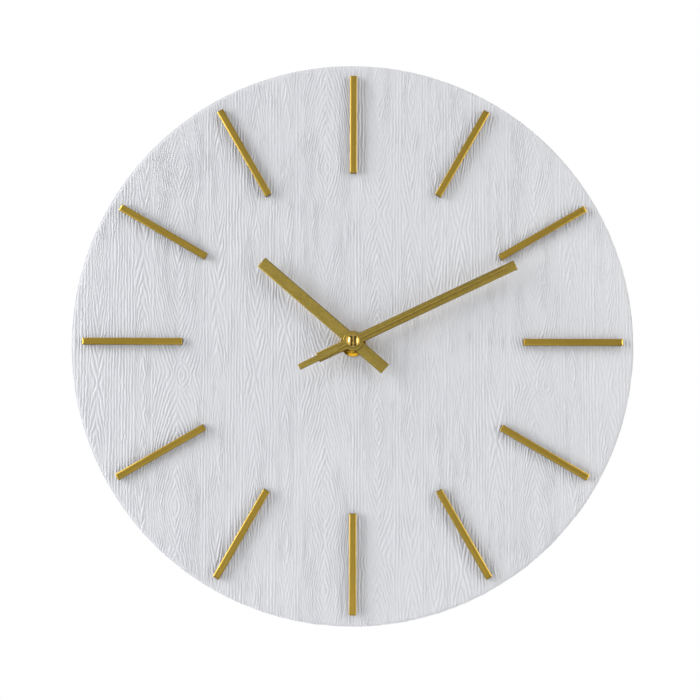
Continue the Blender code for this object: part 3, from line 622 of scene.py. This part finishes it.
def oval_rings(strip, rise, across, from_knot):
    """The nested ovals of a strip: pointed rings round its eyes, a rise apart up the middle."""
    beside = np.hypot(across - strip.across, POINT_ROUNDING)
    outward = np.minimum(beside / strip.half_width, 1.2)
    from_eye = np.abs(from_knot - EYE_FROM_KNOT)
    sideways = beside / RIDGE_PITCH * (0.84 + 0.23 * outward)
    upward = (from_eye - EYE_FROM_KNOT / 2) / rise * (1 - 0.3 * outward**2)
    return wave(sideways + upward)


def grain(x, y):
    """The relief of the embossed grain, from 0 to about 1, at points given in millimetres."""
    across = x + value_noise(SWAY, x, y) + value_noise(SHAKE, x, y)
    lifted = y + value_noise(LIFT, x, y)
    ragged = value_noise(RAGGED, x, y)
    ridges = wave(across / RIDGE_PITCH)
    for strip in WIDE_STRIPS + NARROW_STRIPS:
        half_period = STRIP_PERIOD / 2
        from_knot = (lifted - strip.knot_height + half_period) % STRIP_PERIOD - half_period
        rise = NARROW_RISE if strip in NARROW_STRIPS else WIDE_RISE
        rings = oval_rings(strip, rise, across, np.abs(from_knot))
        share = inside(np.abs(across - strip.across), strip.half_width + ragged, STRIP_EDGE)
        ridges += share * (rings - ridges)
        if strip.knot_shift:
            away = np.hypot(across - strip.across - strip.knot_shift, KNOT_SQUASH * from_knot)
            share = inside(away, KNOT_RADIUS + ragged, STRIP_EDGE)
            ridges += share * (wave(away / RIDGE_PITCH) - ridges)
    depth = np.clip(RIDGE_DEPTH + value_noise(DEPTH_CHANGE, x, y), 0.1, 1.1)
    fibres = value_noise(FINE_FIBRES, x, y) + value_noise(COARSE_FIBRES, x, y)
    return np.clip(GRAIN_BASE + RIDGE_SHARE * ridges * depth + FIBRE_SHARE * fibres, 0.0, 1.0)


def relief(x, y):
    """The height of the grain above the facing's base, in metres."""
    return RELIEF * grain(x / MM, y / MM)


class Skin:
    """The points and faces of a mesh that grows from a grid, ring by ring."""

    def __init__(self):
        self.points = []
        self.faces = []
        self.count = 0

    def add_points(self, points):
        """Adds points and returns their numbers."""
        self.points.append(points)
        numbers = np.arange(self.count, self.count + len(points))
        self.count += len(points)
        return numbers

    def add_grid(self, number, kept):
        """Quads on a grid of point numbers, where kept says so."""
        corners = (number[:-1, :-1], number[1:, :-1], number[1:, 1:], number[:-1, 1:])
        self.faces.append(np.column_stack([corner[kept] for corner in corners]))

    def grow(self, loop, points, flipped=False):
        """Quads from a loop of point numbers to a ring of new points; returns the new loop."""
        ring = self.add_points(points)
        quads = np.column_stack((loop, ring, np.roll(ring, -1), np.roll(loop, -1)))
        self.faces.append(quads[:, ::-1] if flipped else quads)
        return ring

    def cover(self, outer, hole):
        """Triangles between an outer loop and a hole in it, facing the wall."""
        points = np.vstack(self.points)
        flat = [[Vector(points[k]) for k in loop] for loop in (outer, hole)]
        joined = np.concatenate((outer, hole))
        triangles = np.array([[joined[k] for k in corners] for corners in tessellate_polygon(flat)])
        a, b, c = (points[triangles[:, k], :2] for k in range(3))
        facing_out = (b - a)[:, 0] * (c - a)[:, 1] - (b - a)[:, 1] * (c - a)[:, 0] > 0
        triangles[facing_out] = triangles[facing_out][:, ::-1]
        self.faces.append(triangles)

    def mesh(self, name):
        mesh = bpy.data.meshes.new(name)
        faces = [face for block in self.faces for face in block.tolist()]
        mesh.from_pydata(np.vstack(self.points), [], faces)
        return mesh


def window_loop(number, first_column, last_column, first_row, last_row):
    """The point numbers, anticlockwise, round a rectangle of the grid."""
    loop = [(i, first_row) for i in range(first_column, last_column)]
    loop += [(last_column, j) for j in range(first_row, last_row)]
    loop += [(i, last_row) for i in range(last_column, first_column, -1)]
    loop += [(first_column, j) for j in range(last_row, first_row, -1)]
    return np.array([number[place] for place in loop])


def directions(points):
    """The points' directions from the hands' axis."""
    flat = points[:, :2]
    return flat / np.hypot(*flat.T)[:, None]


def level_points(outward, radius, depth):
    return np.column_stack((radius * outward, np.full(len(outward), depth)))


def rim_path():
    """Steps over the rim: the angle turned round its rounded edge, and the fall below that."""
    wall = FACE - RELIEF - EDGE_ROUND - DISC_BACK
    path = [(QUARTER * k / RIM_STEPS, 0.0) for k in range(1, RIM_STEPS + 1)]
    path += [(QUARTER, wall * k / WALL_STEPS) for k in range(1, WALL_STEPS + 1)]
    return path


def rim_points(outward, angle, fall):
    """The embossed points at one step over the rim, where the grain runs on from the face."""
    travelled = FLAT_RADIUS + EDGE_ROUND * angle + fall
    height = relief(*(travelled * outward).T)
    radius = FLAT_RADIUS + (EDGE_ROUND + height) * math.sin(angle)
    depth = BASE_FACE - EDGE_ROUND - fall + (EDGE_ROUND + height) * math.cos(angle)
    return np.column_stack((radius[:, None] * outward, depth))


def facing_mesh():
    """A closed skin: embossed face and rim outside, smooth against the board inside.

    The grid's columns are upright, as the ridges are, and stop just short of three and nine o'clock.
    A window in the grid makes way for the hole.
    """
    turn = np.linspace(-1, 1, GRID_COLUMNS)[:, None] * (QUARTER - GRID_END)
    share = np.linspace(-1, 1, GRID_ROWS)[None, :]
    x = FLAT_RADIUS * np.sin(turn) * np.ones_like(share)
    y = FLAT_RADIUS * np.cos(turn) * share
    face = np.column_stack((x.ravel(), y.ravel(), (BASE_FACE + relief(x, y)).ravel()))
    skin = Skin()
    number = skin.add_points(face).reshape(GRID_COLUMNS, GRID_ROWS)

    columns = np.flatnonzero(np.abs(x[:, GRID_ROWS // 2]) < HOLE_WINDOW)
    rows = np.flatnonzero(np.abs(y[GRID_COLUMNS // 2]) < HOLE_WINDOW)
    kept = np.ones((GRID_COLUMNS - 1, GRID_ROWS - 1), bool)
    kept[columns[0] : columns[-1], rows[0] : rows[-1]] = False
    skin.add_grid(number, kept)

    outer = window_loop(number, 0, GRID_COLUMNS - 1, 0, GRID_ROWS - 1)
    outward = directions(face[outer])
    for angle, fall in rim_path():
        outer = skin.grow(outer, rim_points(outward, angle, fall))
    for depth in (DISC_BACK, INNER_FACE):
        outer = skin.grow(outer, level_points(outward, INNER_RADIUS, depth))

    hole = window_loop(number, columns[0], columns[-1], rows[0], rows[-1])
    outward = directions(face[hole])
    for depth in (BASE_FACE, INNER_FACE):
        hole = skin.grow(hole, level_points(outward, HOLE_RADIUS, depth), flipped=True)
    skin.cover(outer, hole)
    return skin.mesh("dial_relief")


def build_disc():
    facing = facing_mesh()
    add_piece(
        "dial_relief", facing, "housing", "grey_facing", ("dial_facing",), sharp=FACING_SHARP_ANGLE
    )
    low, high = bench_box("dial_board")
    corner, edge = EDGE_ROUND - FACING_THICKNESS, BOARD_EDGE
    profile = [(HOLE_RADIUS, high.z)]
    profile += arc(corner, QUARTER, 0.0, 6, (high.x - corner, high.z - corner))
    profile += arc(edge, 0.0, -QUARTER, 3, (high.x - edge, low.z + edge))
    profile += [(HOLE_RADIUS, low.z)]
    core = turned(profile, "dial_core", BOARD_SEGMENTS)
    add_piece("dial_core", core, "housing", "fibreboard", ("dial_board",))


# ---------------------------------------------------------------- bars, hands and hub


def bevel(work, edges, width, segments):
    bmesh.ops.bevel(
        work, geom=edges, offset=width, segments=segments, profile=0.5, affect="EDGES"
    )


def bar_mesh(width, length, low, high):
    """A square bar with broad chamfers round its face and finely broken edges."""
    work = bmesh.new()
    bmesh.ops.create_cube(work, size=1.0)
    bmesh.ops.scale(work, vec=(width, length, high - low), verts=work.verts)
    bmesh.ops.translate(work, vec=(0, 0, (low + high) / 2), verts=work.verts)
    top = [e for e in work.edges if all(v.co.z > high - SAME_DEPTH for v in e.verts)]
    bevel(work, top, BAR_CHAMFER, 1)
    shoulder = high - BAR_CHAMFER
    for vert in work.verts:
        if abs(vert.co.z - shoulder) < SAME_DEPTH:
            vert.co.z = high - BAR_FALL
    upper = [e for e in work.edges if min(v.co.z for v in e.verts) > low + SAME_DEPTH]
    upright = [e for e in work.edges if abs(e.verts[0].co.z - e.verts[1].co.z) > (high - low) / 3]
    bevel(work, list(dict.fromkeys(upper + upright)), BAR_EDGE, 2)
    return from_bmesh(work, "bar")


def build_bars():
    low, high = bench_box("hour_bar_12")
    width, length, middle = high.x - low.x, high.y - low.y, (low.y + high.y) / 2
    for hour in range(1, 13):
        turn = Matrix.Rotation(-math.radians(30 * hour), 4, "Z")
        place = turn @ Matrix.Translation((0.0, middle, 0.0))
        mesh = bar_mesh(width, length, FACE - BAR_FOOT, high.z)
        name = f"gold_bar_{hour:02d}"
        add_piece(name, mesh, "housing", "gold_bar", (f"hour_bar_{hour:02d}",), place)


# Lengths and radii from the hands' axis, half the width, and the paddle's start, end and half width
Hand = namedtuple("Hand", "turn tip tail half boss bore low high paddle")


def read_hand(node):
    """A hand's direction and outline sizes, read from its CAD solid."""
    points = bench_points(node)
    flat = points[:, :2]
    reach = np.hypot(*flat.T)
    tip_corners = flat[reach > reach.max() - 0.05 * MM]
    ahead = tip_corners.mean(axis=0)
    ahead /= np.linalg.norm(ahead)
    sideways = np.array((ahead[1], -ahead[0]))
    along, across = flat @ ahead, flat @ sideways
    boss = float(np.abs(across[np.abs(along) < 2 * MM]).max())
    behind_boss = along < -1.2 * boss
    paddle_along, paddle_across = along[behind_boss], across[behind_boss]
    paddle = (-paddle_along.max(), -paddle_along.min(), np.abs(paddle_across).max())
    half = float(np.abs(tip_corners @ sideways).max())
    turn = math.atan2(ahead[1], ahead[0]) - QUARTER
    low, high = points[:, 2].min(), points[:, 2].max()
    return Hand(turn, along.max(), -along.min(), half, boss, reach.min(), low, high, paddle)


def stamped(outline, bore, low, high, name):
    """A flat blank with a round hole, its upper edges slightly rolled over by the stamping."""
    work = bmesh.new()
    hole = [polar(bore, angle) for angle in np.linspace(0, 2 * math.pi, BORE_STEPS + 1)[:-1]]
    loops = [[Vector((x, y, 0.0)) for x, y in points] for points in (outline, hole)]
    flat = [point for loop in loops for point in loop]
    upper = [work.verts.new((p.x, p.y, high)) for p in flat]
    lower = [work.verts.new((p.x, p.y, low)) for p in flat]
    for triangle in tessellate_polygon(loops):
        work.faces.new([upper[k] for k in triangle])
        work.faces.new([lower[k] for k in reversed(triangle)])
    bmesh.ops.dissolve_limit(
        work, angle_limit=0.001, verts=work.verts, edges=work.edges, delimit=set()
    )
    start = 0
    for loop in loops:
        ring = list(range(start, start + len(loop)))
        for first, second in zip(ring, ring[1:] + ring[:1]):
            work.faces.new((upper[first], upper[second], lower[second], lower[first]))
        start += len(loop)
    bmesh.ops.recalc_face_normals(work, faces=work.faces)
    rim = [e for e in work.edges if len(e.link_faces) == 2 and e.calc_face_angle(0) > 1.2]
    rim = [e for e in rim if all(v.co.z > high - SAME_DEPTH for v in e.verts)]
    bevel(work, rim, ROLLED_SHARE * (high - low), 3)
    return from_bmesh(work, name)


def round_the_boss(hand):
    """The outline's right side of the boss, its tip, and the left side of the boss."""
    meet = math.asin(hand.half / hand.boss)
    right = arc(hand.boss, meet - QUARTER, QUARTER - meet, BOSS_STEPS)
    left = arc(hand.boss, QUARTER + meet, 3 * QUARTER - meet, BOSS_STEPS)
    return right + [(hand.half, hand.tip), (-hand.half, hand.tip)] + left


def straight_hand(hand):
    """A strip with a round boss, as wide behind the boss as before it."""
    return round_the_boss(hand) + [(-hand.half, -hand.tail), (hand.half, -hand.tail)]


def weighted_hand(hand):
    """A strip with a round boss and a wider paddle at its tail."""
    start, end, half = hand.paddle
    paddle = [(-hand.half, -start), (-half, -start), (-half, -end)]
    return round_the_boss(hand) + paddle + [(-x, y) for x, y in reversed(paddle)]


def build_hands():
    for node, body, outline in (
        ("hour_hand", "hours", straight_hand),
        ("minute_hand", "minutes", straight_hand),
        ("second_hand", "seconds", weighted_hand),
    ):
        hand = read_hand(node)
        name = f"{node}_leaf"
        mesh = stamped(outline(hand), hand.bore, hand.low, hand.high, name)
        place = Matrix.Rotation(hand.turn, 4, "Z")
        add_piece(name, mesh, body, "gold_hand", (node,), place)


def level_ring(radius, depth, segments):
    """Points of a circle about the hands' axis."""
    return [(*polar(radius, 2 * math.pi * k / segments), depth) for k in range(segments)]


def threaded_rings(root, crest, low, high):
    """Rings of a screw thread, a single start of a triangular form."""
    count = round((high - low) / (THREAD_PITCH / THREAD_STEPS))
    rings = []
    for k in range(count + 1):
        depth = low + (high - low) * k / count
        ring = []
        for s in range(BUSHING_SEGMENTS):
            share = (depth / THREAD_PITCH - s / BUSHING_SEGMENTS) % 1.0
            radius = root + (crest - root) * (1 - abs(2 * share - 1))
            angle = 2 * math.pi * s / BUSHING_SEGMENTS
            ring.append((*polar(radius, angle), depth))
        rings.append(ring)
    return rings


def build_bushing():
    """A flanged tube with a thread that starts just above the flange and stops short of the end."""
    low, high = bench_box("threaded_bushing")
    points = bench_points("threaded_bushing")
    radii = np.hypot(*points[:, :2].T)
    bore, flange = radii.min(), radii.max()
    crest = radii[points[:, 2] > high.z - 0.1 * MM].max()
    root = crest - THREAD_DEPTH
    neck_depths = points[radii < crest + 0.1 * MM][:, 2]
    start = neck_depths[neck_depths > low.z + 0.2 * MM].min()
    plain = ((bore, low.z), (flange, low.z), (flange, start), (root, start))
    end = ((root, high.z - 0.2 * MM), (root - 0.2 * MM, high.z), (bore, high.z))
    rings = [level_ring(radius, depth, BUSHING_SEGMENTS) for radius, depth in plain]
    rings += threaded_rings(root, crest, start + 0.1 * MM, high.z - 0.5 * MM)
    rings += [level_ring(radius, depth, BUSHING_SEGMENTS) for radius, depth in end]
    mesh = swept_rings(rings, "hub_bushing")
    add_piece("hub_bushing", mesh, "housing", "brass", ("threaded_bushing",))


def build_nut():
    """A hexagonal nut whose corners are turned down on both faces."""
    low, high = bench_box("mounting_nut")
    points = bench_points("mounting_nut")
    reach = np.hypot(*points[:, :2].T)
    bore, corner = reach.min(), points[reach.argmax()]
    flats = reach.max() * math.cos(math.pi / 6)
    first_corner = math.atan2(corner[1], corner[0])
    angles = [first_corner + 2 * math.pi * k / NUT_SEGMENTS for k in range(NUT_SEGMENTS)]
    start = flats - 0.1 * MM

    def circle(radius, depth):
        return [(*polar(radius, angle), depth) for angle in angles]

    def face_ring(share, face, fall):
        """A ring that share of the way from the face's round land to the hexagon's outline."""
        ring = []
        for angle in angles:
            from_flat = (angle - first_corner) % (math.pi / 3) - math.pi / 6
            radius = start + (flats / math.cos(from_flat) - start) * share
            ring.append((*polar(radius, angle), face + fall * (radius - start)))
        return ring

    slope = math.tan(NUT_SLOPE)
    rings = [circle(bore, high.z - NUT_CHAMFER), circle(bore + NUT_CHAMFER, high.z)]
    rings += [face_ring(share, high.z, -slope) for share in (0.0, 0.5, 1.0)]
    rings += [face_ring(share, low.z, slope) for share in (1.0, 0.5, 0.0)]
    rings += [circle(bore, low.z)]
    mesh = swept_rings(rings, "hub_nut")
    add_piece(
        "hub_nut", mesh, "housing", "gold_fitting", ("mounting_nut",), sharp=NUT_SHARP_ANGLE
    )


def build_washer():
    """A washer that slopes away to its edge; it hangs a little low on the bushing."""
    low, high = bench_box("front_washer")
    centre = ((low.x + high.x) / 2, (low.y + high.y) / 2)
    points = bench_points("front_washer")
    radii = np.hypot(points[:, 0] - centre[0], points[:, 1] - centre[1])
    bore, radius, edge = radii.min(), radii.max(), WASHER_EDGE
    shoulder, foot = radius - WASHER_SLOPE_WIDTH, FACE - 0.1 * MM
    rim = high.z - (radius - shoulder) * math.tan(WASHER_SLOPE)
    profile = [(bore, high.z), (shoulder, high.z), (radius - edge, rim)]
    profile += [(radius, rim - edge), (radius, foot), (bore, foot)]
    mesh = turned(profile, "hub_washer", WASHER_SEGMENTS, centre=centre)
    add_piece(
        "hub_washer", mesh, "housing", "gold_fitting", ("front_washer",), sharp=WASHER_SHARP_ANGLE
    )


def build_cap():
    """A polished button: a shallow dome that rounds into a straight wall."""
    points = bench_points("hand_cap")
    depths = points[:, 2]
    wall, low, high = np.hypot(*points[:, :2].T).max(), depths.min(), depths.max()
    shoulder = depths[(depths < high) & (depths > low + 0.1 * MM)].min()
    slope = 2 * math.atan2(high - shoulder, wall)
    corner = CAP_CORNER
    sphere = (wall - corner) / math.sin(slope) + corner
    start, end = QUARTER - CAP_POLE_GAP, QUARTER - slope
    profile = arc(sphere, start, end, 24, (0.0, high - sphere))
    corner_depth = high - sphere + (sphere - corner) * math.cos(slope)
    profile += arc(corner, end, 0.0, 4, (wall - corner, corner_depth))[1:]
    profile += [(wall, low + CAP_EDGE), (wall - CAP_EDGE, low)]
    mesh = turned(profile, "centre_cap", CAP_SEGMENTS, closed=False)
    add_piece("centre_cap", mesh, "seconds", "gold_fitting", ("hand_cap",), finish="gold_cap")


# ---------------------------------------------------------------- floor, light and camera


def build_floor():
    """A pale floor below the clock that fades away into the white round it."""
    mesh = bpy.data.meshes.new("floor")
    half = FLOOR_FADE[1]
    corners = [(x * half, y * half, FLOOR_HEIGHT) for x, y in ((-1, -1), (1, -1), (1, 1), (-1, 1))]
    mesh.from_pydata(corners, [], [(0, 1, 2, 3)])
    floor = bpy.data.objects.new("floor", mesh)
    bpy.context.scene.collection.objects.link(floor)
    pale = Recipe("floor", screen(238, 238, 238), 0.8)
    pale.tint(pale.noise(0.3, detail=4), screen(232, 232, 232), 0.5)
    pale.set("Emission Color", (1.0, 1.0, 1.0, 1.0))
    pale.set("Emission Strength", 0.25)
    away = pale.nodes.new("ShaderNodeVectorMath")
    away.operation = "LENGTH"
    pale.links.new(pale.stretched((1.0, 1.0, 0.0)), away.inputs[0])
    opacity = pale.spread(away.outputs["Value"], 1.0, 0.0, *FLOOR_FADE)
    pale.links.new(opacity, pale.shader.inputs["Alpha"])
    mesh.materials.append(pale.material)
    floor.visible_glossy = False


def add_softbox(box):
    """A softbox aimed at the dial, out of the camera's sight."""
    lamp = bpy.data.lights.new(box.name, "AREA")
    lamp.shape = "RECTANGLE"
    lamp.size, lamp.size_y = box.width, box.height
    lamp.energy = box.power
    lamp.color = box.colour
    light = bpy.data.objects.new(box.name, lamp)
    bpy.context.scene.collection.objects.link(light)
    light.location = box.place
    light.rotation_euler = (-Vector(box.place)).to_track_quat("-Z", "Y").to_euler()
    light.visible_camera = False
    light.visible_glossy = box.mirrored


def add_room():
    """White to the camera, and to all else a room that is brighter towards its sides."""
    world = bpy.data.worlds.new("studio")
    bpy.context.scene.world = world
    world.use_nodes = True
    nodes, links = world.node_tree.nodes, world.node_tree.links
    direction = nodes.new("ShaderNodeSeparateXYZ")
    links.new(nodes.new("ShaderNodeTexCoord").outputs["Generated"], direction.inputs["Vector"])
    to_the_side = nodes.new("ShaderNodeMath")
    to_the_side.operation = "ABSOLUTE"
    links.new(direction.outputs["X"], to_the_side.inputs["Value"])
    levels = nodes.new("ShaderNodeValToRGB")
    links.new(to_the_side.outputs["Value"], levels.inputs["Fac"])
    steps = levels.color_ramp.elements
    for place, level in ROOM_LEVELS[len(steps) :]:
        steps.new(place)
    for step, (place, level) in zip(steps, ROOM_LEVELS):
        step.position = place
        step.color = (*[level * c for c in ROOM_COLOUR], 1.0)
    rays = nodes.new("ShaderNodeLightPath")
    seen = nodes.new("ShaderNodeMix")
    seen.data_type = "RGBA"
    links.new(levels.outputs["Color"], seen.inputs[MIX_COLOUR_A])
    seen.inputs[MIX_COLOUR_B].default_value = (1.0, 1.0, 1.0, 1.0)
    links.new(rays.outputs["Is Camera Ray"], seen.inputs["Factor"])
    links.new(seen.outputs[MIX_COLOUR_OUT], nodes["Background"].inputs["Color"])
    bpy.context.scene.view_settings.view_transform = "Standard"


def add_camera():
    data = bpy.data.cameras.new("camera")
    data.sensor_width = CAMERA_SENSOR
    data.lens = CAMERA_LENS
    camera = bpy.data.objects.new("camera", data)
    bpy.context.scene.collection.objects.link(camera)
    camera.location = CAMERA_PLACE
    camera.rotation_euler = (CAMERA_TILT, CAMERA_ROLL, CAMERA_TURN)
    bpy.context.scene.camera = camera


finish_kept_nodes()
build_disc()
build_bars()
build_hands()
build_bushing()
build_nut()
build_washer()
build_cap()
build_floor()
for softbox in SOFTBOXES:
    add_softbox(softbox)
add_room()
add_camera()
